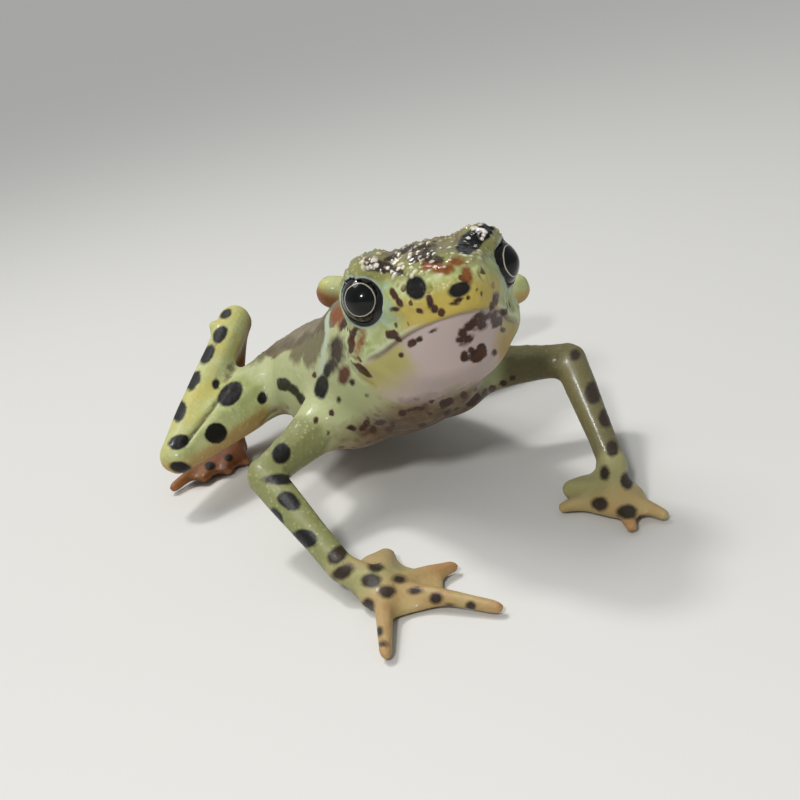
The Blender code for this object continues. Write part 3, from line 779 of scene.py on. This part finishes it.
layers = (   # colour, share, and the fields that limit it, each laid over the ones before
    # the forearm layer in this line is partly the arms' own olive, partly painted shade
    ("shank", 0.8, "shank", "broad"), ("forearm", 0.85, "forearm"), ("underLimb", 0.8, "underLimb"),
    ("limbPale", 0.35, "granuleTop", "patchy"), ("torso", 1.0, "torso"), ("cheek", 1.0, "cheek", "patchy"),
    ("belly", 1.0, "belly"), ("bellyBrownAndShade", 0.7, "belly", "broad"), ("back", 1.0, "back"),
    # the left arm's darker layer in this line is painted shade
    ("backDark", 0.8, "back", "broad"), ("leftArm", 0.75, "leftArm"), ("hand", 0.9, "hand"),
    ("dusky", 0.8, "dusky"), ("paleStripe", 1.0, "paleStripe"), ("digits", 1.0, "digits"),
    ("digitsPale", 0.8, "digits", "broad"), ("foot", 1.0, "foot"), ("footPale", 0.6, "foot", "broad"),
    ("crown", 1.0, "crown"), ("crownBack", 0.9, "crownBack"), ("crownMiddle", 0.8, "crownMiddle", "broad"),
    ("crownRust", 0.7, "crownMiddle", "patchy"), ("lips", 0.85, "lips"), ("loreal", 0.8, "loreal", "patchy"),
    ("throat", 1.0, "throat"), ("jaw", 1.0, "jaw"), ("creaseShade", 0.75, "creaseShade"),
    ("mouth", 0.8, "mouth", "corner"), ("lipEdge", 0.5, "lipEdge"), ("speck", 0.9, "few", "dot", "specked"),
    ("breast", 1.0, "breast"), ("breastPale", 0.5, "breast", "patchy"), ("thumb", 0.8, "thumb"),
    ("jawOrange", 0.7, "jawOrange"), ("brownDark", 1.0, "brownDark"), ("crownGrey", 0.75, "crownGrey"),
    ("russet", 0.95, "russet"), ("crownDark", 0.95, "crownDark"), ("orange", 0.9, "orange"),
    ("tan", 0.9, "tan"), ("ruddy", 1.0, "ruddy"), ("umber", 1.0, "umber"), ("smear", 1.0, "smear"),
    ("rust", 1.0, "rust"),
    # the pale bead tops and the glints in these two lines are painted highlights on the wet crown
    ("rustDeep", 0.85, "rust", "patchy"), ("dark", 1.0, "dark"), ("beadHighlight", 0.45, "beadTop", "patchy"),
    ("glint", 0.9, "beadTop", "glint"), ("lidEdge", 1.0, "lidEdge"), ("lid", 1.0, "lid"),
)


def skinMottling(material, place):
    mottle = {}
    for name, (size, detail) in skinFinish["mottling"].items():
        settings = {"Scale": 1.0 / (size * mm), "Detail": detail, "Roughness": 0.6}
        mottle[name] = addNode(material, noise, settings, {"Vector": place}).outputs["Fac"]
    return mottle


def skinMasks(material, place, mottle, granules):
    masks = {name: addNode(material, named, {"attribute_name": name}).outputs["Fac"] for name in fields}
    # each edge wanders by the middle and fine mottling, in millimetres
    middle, fine = mottle["middle"], mottle["fine"]
    byMiddle, shift, byFine = skinFinish["wander"]
    wander = addNode(material, maths, {**multiplyAdd, 1: byMiddle, 2: shift}, {0: middle}).outputs[0]
    wander = addNode(material, maths, {**multiplyAdd, 1: byFine}, {0: fine, 2: wander}).outputs[0]
    for name, (soft, sway) in edgeKinds.items():
        away = addNode(material, maths, {**multiplyAdd, 1: sway}, {0: wander, 2: masks[name]}).outputs[0]
        edge = {1: soft, 2: -soft + skinFinish["edgeShift"]}
        masks[name] = addNode(material, ramp, edge, {0: away}).outputs[0]
    ragged = {**multiplyAdd, 1: skinFinish["backRagged"]}
    masks["back"] = addNode(material, maths, ragged, {0: wander, 2: masks["back"]}).outputs[0]

    # small brown specks on the breast, the face and the lips
    cell = addNode(material, cells, {"Scale": 1.0 / (skinFinish["specks"] * mm)}, {"Vector": place})
    tint = addNode(material, "ShaderNodeSeparateColor", None, {0: cell.outputs["Color"]}).outputs[0]
    uneven = {**multiplyAdd, 1: skinFinish["speckRagged"]}
    dot = addNode(material, maths, uneven, {0: fine, 2: cell.outputs["Distance"]}).outputs[0]
    masks["specked"] = masks["belly"]
    for name in ("face", "lips", "breast"):
        both = {0: masks["specked"], 1: masks[name]}
        masks["specked"] = addNode(material, maths, {"operation": "MAXIMUM"}, both).outputs[0]
    ramps = {   # source, where the mask is nothing, where it is full
        "broad": (mottle["broad"], 0.38, 0.62),
        "patchy": (middle, 0.42, 0.6),
        "back": (masks["back"], 0.4, 0.6),
        "lidEdge": (masks["lid"], 0.14, 0.06),
        "lid": (masks["lid"], 0.03, -0.03),
        "beadTop": (masks["beads"], 0.38, 0.66),
        "few": (tint, 0.52, 0.56),
        "dot": (dot, 0.43, 0.37),
        "granuleTop": (granules, 0.4, 0.15),
    }
    for name, (source, nothing, full) in ramps.items():
        masks[name] = addNode(material, ramp, {1: nothing, 2: full}, {0: source}).outputs[0]
    return masks


def skinColour(material, masks):
    tints = {name: fromHex(code) for name, code in skinFinish["colours"].items()}
    under = {"data_type": "RGBA", 6: tints["limb"], 7: tints["limbDeep"]}
    colour = addNode(material, mix, under, {0: masks["broad"]}).outputs[2]
    for name, share, *limits in layers:
        factor = addNode(material, maths, {**multiply, 1: share}, {0: masks[limits[0]]}).outputs[0]
        for limit in limits[1:]:
            factor = addNode(material, maths, multiply, {0: factor, 1: masks[limit]}).outputs[0]
        over = {"data_type": "RGBA", 7: tints[name]}
        colour = addNode(material, mix, over, {0: factor, 6: colour}).outputs[2]
    return colour


def skinMaterial():
    material, shader = newMaterial("moistToadSkin", skinFinish["sockets"])
    place = addNode(material, "ShaderNodeTexCoord").outputs["Object"]
    mottle = skinMottling(material, place)
    settings = {"feature": "SMOOTH_F1", "Scale": 1.0 / (skinFinish["granules"] * mm), "Smoothness": 0.5}
    granules = addNode(material, cells, settings, {"Vector": place}).outputs["Distance"]
    masks = skinMasks(material, place, mottle, granules)
    # granules with a finer grain on them, fainter on the throat
    grain = addNode(material, maths, {"operation": "SUBTRACT"}, {0: mottle["fine"], 1: granules}).outputs[0]
    calmer = {**multiplyAdd, 1: -skinFinish["throatCalm"], 2: 1.0}
    calm = addNode(material, maths, calmer, {0: masks["throat"]}).outputs[0]
    grain = addNode(material, maths, multiply, {0: grain, 1: calm}).outputs[0]
    raised = {"Strength": 1.0, "Distance": skinFinish["bump"] * mm}
    bump = addNode(material, "ShaderNodeBump", raised, {"Height": grain})
    dry, wet = skinFinish["roughness"]
    roughness = addNode(material, ramp, {3: dry, 4: wet}, {0: masks["crown"]}).outputs[0]
    material.node_tree.links.new(skinColour(material, masks), shader.inputs["Base Color"])
    material.node_tree.links.new(roughness, shader.inputs["Roughness"])
    material.node_tree.links.new(bump.outputs["Normal"], shader.inputs["Normal"])
    return material


skin.data.materials.clear()
skin.data.materials.append(skinMaterial())
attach(skin, "root")
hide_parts(*fleshNodes)

# Eyes: a black round pupil, a thin pale ring and a dark iris. The clear wet cornea gives one sharp highlight.
eyeForm = {
    "outward": {"right": -33.0, "left": 47.0},   # it glances a little to its left
    "rise": -0.06,
    "radius": 1.5,
    "segments": 72,
    "rings": 56,
    "corneaRise": 0.08,
    "corneaRadius": 0.9,
    "backOfEye": 3.0,        # distance from the axis written behind, past every ring
    "ringRadius": 0.95,
    "ringWidth": 0.045,
    "ringSoft": (0.02, 0.03),
    "ringUneven": (0.7, 0.09),   # size and depth of its waves
    "irisEdge": 0.04,
    "fleckSize": 0.12,
    "pupil": "#050505", "ring": "#cfcbb6", "iris": "#0d0b09", "irisFleck": "#3a3020",
    "sockets": {
        "Roughness": 0.25,
        "Coat Weight": 1.0,
        "Coat Roughness": 0.02,
        "Coat IOR": 1.34,
        "Specular IOR Level": 0.1,
        "IOR": 1.38,
    },
}


def eyeMaterial():
    material, shader = newMaterial("wetEyeball", eyeForm["sockets"])
    pupil, ring, iris, fleck = (fromHex(eyeForm[key]) for key in ("pupil", "ring", "iris", "irisFleck"))
    radius, thick, (outer, inner) = eyeForm["ringRadius"], eyeForm["ringWidth"] * 0.5, eyeForm["ringSoft"]
    size, depth = eyeForm["ringUneven"]
    place = addNode(material, "ShaderNodeTexCoord").outputs["Object"]
    away = addNode(material, named, {"attribute_name": "fromAxis"}).outputs["Fac"]
    flecked = {"Scale": 1.0 / (eyeForm["fleckSize"] * mm), "Detail": 3.0}
    flecks = addNode(material, noise, flecked, {"Vector": place}).outputs["Fac"]
    waves = {"Scale": 1.0 / (size * mm), "Detail": 2.0}
    uneven = addNode(material, noise, waves, {"Vector": place}).outputs["Fac"]
    middle = {"operation": "SUBTRACT", 1: radius + depth / 2}
    shifted = addNode(material, maths, {**multiplyAdd, 1: depth}, {0: uneven, 2: away}).outputs[0]
    offset = addNode(material, maths, middle, {0: shifted}).outputs[0]
    spread = addNode(material, maths, {"operation": "ABSOLUTE"}, {0: offset}).outputs[0]
    onRing = addNode(material, ramp, {1: thick + outer, 2: thick - inner}, {0: spread}).outputs[0]
    outside = addNode(material, ramp, {1: radius, 2: radius + eyeForm["irisEdge"]}, {0: away}).outputs[0]
    sparse = addNode(material, ramp, {1: 0.58, 2: 0.7}, {0: flecks}).outputs[0]
    speckled = addNode(material, mix, {"data_type": "RGBA", 6: iris, 7: fleck}, {0: sparse}).outputs[2]
    colour = addNode(material, mix, {"data_type": "RGBA", 6: pupil}, {0: outside, 7: speckled}).outputs[2]
    colour = addNode(material, mix, {"data_type": "RGBA", 7: ring}, {0: onRing, 6: colour}).outputs[2]
    material.node_tree.links.new(colour, shader.inputs["Base Color"])
    return material


def gazeOf(side):
    turn = math.radians(eyeForm["outward"][side])
    return (headTurn @ Vector((math.sin(turn), -math.cos(turn), eyeForm["rise"]))).normalized()


def addEye(side, material):
    segments, rings, radius = eyeForm["segments"], eyeForm["rings"], eyeForm["radius"] * mm
    bpy.ops.object.select_all(action="DESELECT")
    bpy.ops.mesh.primitive_uv_sphere_add(segments=segments, ring_count=rings, radius=radius)
    eye = bpy.context.object
    eye.name = "eyeball" + side.capitalize()
    points = vectorsOf(eye, "co")
    front = points[:, 2] > 0
    across = np.linalg.norm(points[:, :2], axis=1) / mm
    addField(eye, "fromAxis", np.where(front, across, eyeForm["backOfEye"]))
    points[:, 2] += eyeForm["corneaRise"] * mm * ease(eyeForm["corneaRadius"], 0.0, across) * front
    setPoints(eye, points)
    turn = gazeOf(side).to_track_quat("Z", "Y").to_matrix().to_4x4()
    eye.data.transform(Matrix.Translation(eyeCentres[side]) @ turn)
    bpy.ops.object.shade_smooth()
    eye.data.materials.append(material)
    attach(eye, "root")
    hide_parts("eye_" + side)


wetEye = eyeMaterial()
for name in eyeCentres:
    addEye(name, wetEye)
print("eyes set")

# Floor and light. The floor is matt paper, so it shows no highlight.
studio = {
    "floor": "#d0cec9",
    "floorSize": 3.0,   # metres
    "room": ("#dfe4e8", 0.42),
    "sun": {"from": (-0.35, 0.45, 1.0), "strength": 1.0, "spread": 30},
    "aim": (0, -5, 8),
    "lamps": {
        "key": {"place": (-85, -125, 120), "size": 24, "power": 0.17},
        "top": {"place": (-30, 70, 140), "size": 22, "power": 0.09},
    },
}


def addFloor():
    bpy.ops.mesh.primitive_plane_add(size=studio["floorSize"], location=(0, 0, 0))
    floor = bpy.context.object
    floor.name = "floor"
    material, _ = newMaterial("mattPaper", {"Base Color": fromHex(studio["floor"]), "Roughness": 0.9})
    floor.data.materials.append(material)


def addLamps():
    for name, lamp in studio["lamps"].items():
        place = Vector(lamp["place"]) * mm
        bpy.ops.object.light_add(type="AREA", location=place)
        light = bpy.context.object
        light.name = name + "Light"
        light.data.shape = "DISK"
        light.data.size = lamp["size"] * mm
        light.data.energy = lamp["power"]
        light.rotation_euler = (Vector(studio["aim"]) * mm - place).to_track_quat("-Z", "Y").to_euler()
    sun = studio["sun"]
    bpy.ops.object.light_add(type="SUN")
    light = bpy.context.object
    light.name = "softSun"
    light.data.energy = sun["strength"]
    light.data.angle = math.radians(sun["spread"])
    light.rotation_euler = (-Vector(sun["from"])).to_track_quat("-Z", "Y").to_euler()


def lightRoom():
    world = bpy.data.worlds.new("paleRoom")
    world.use_nodes = True
    tint, strength = studio["room"]
    world.node_tree.nodes["Background"].inputs["Color"].default_value = fromHex(tint)
    world.node_tree.nodes["Background"].inputs["Strength"].default_value = strength
    bpy.context.scene.world = world
    bpy.context.scene.view_settings.view_transform = "Standard"


addFloor()
addLamps()
lightRoom()
print("studio lit")
